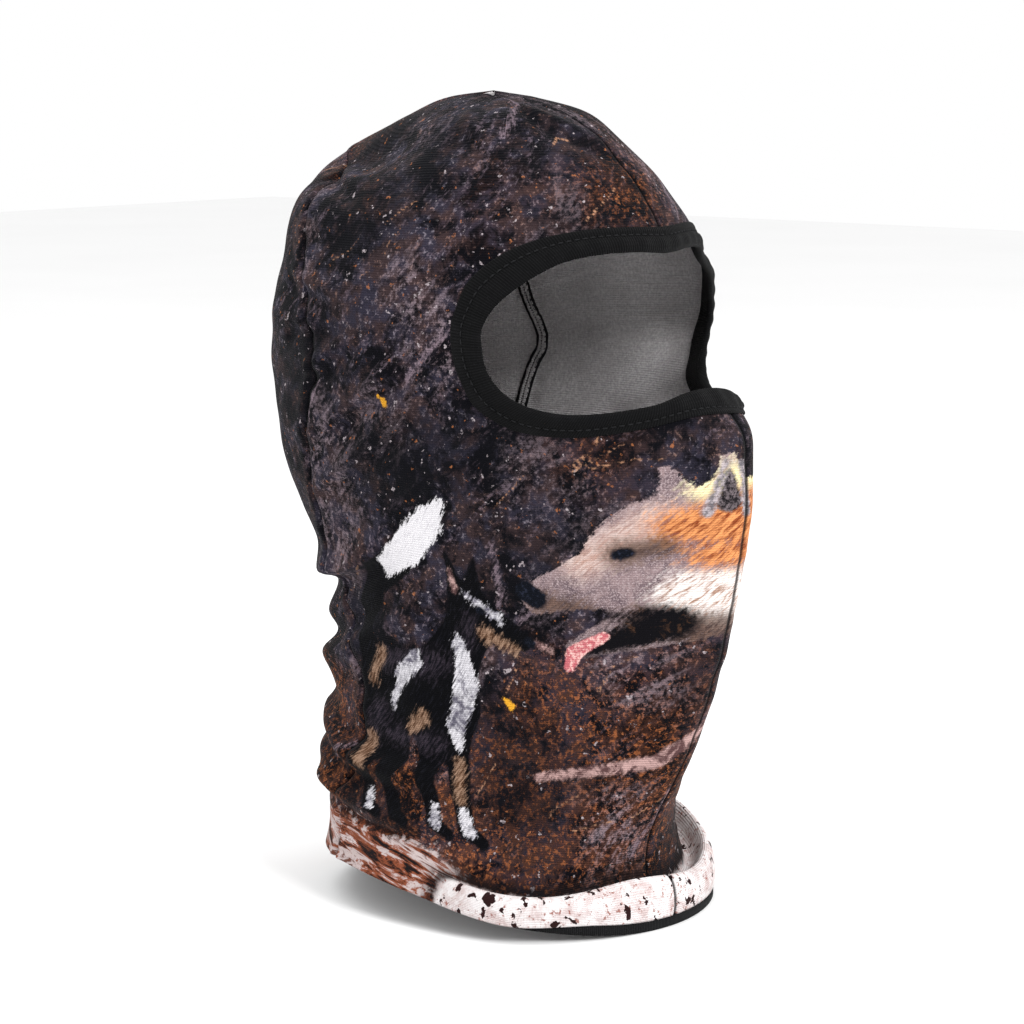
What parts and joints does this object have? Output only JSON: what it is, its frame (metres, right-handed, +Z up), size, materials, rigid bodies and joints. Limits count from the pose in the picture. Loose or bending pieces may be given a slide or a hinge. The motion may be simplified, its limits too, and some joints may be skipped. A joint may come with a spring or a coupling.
{
  "type": "full-face balaclava",
  "caption": "Full-face stretch-fabric balaclava with one wide eye opening, a bound opening edge and a turned-up hem, sewn from side and back panels.",
  "frame": {"origin": "middle of the bounding box, on the plane that the hem rests on", "axes": "+Z up to the crown, the face looks along -Y, +X towards the wearer's left"},
  "size_m": [0.1724, 0.2295, 0.3335],
  "materials": {
    "printed_jersey": "brushed knit jersey with a full-colour camouflage print outside and an off-white back",
    "black_binding": "matte black folded rib-knit tape",
    "black_facing": "matte black woven tape",
    "black_thread": "spun polyester sewing thread"
  },
  "bodies": {
    "root": {"right_side_panel": "printed_jersey", "left_side_panel": "printed_jersey", "back_panel": "printed_jersey", "eye_opening_binding": "black_binding", "eye_binding_stitching": "black_thread", "crown_seam_overlock": "black_thread", "chin_seam_overlock": "black_thread", "back_seam_overlock_right": "black_thread", "back_seam_overlock_left": "black_thread", "hem_facing": "black_facing", "hem_facing_stitching": "black_thread"}
  },
  "joints": []
}
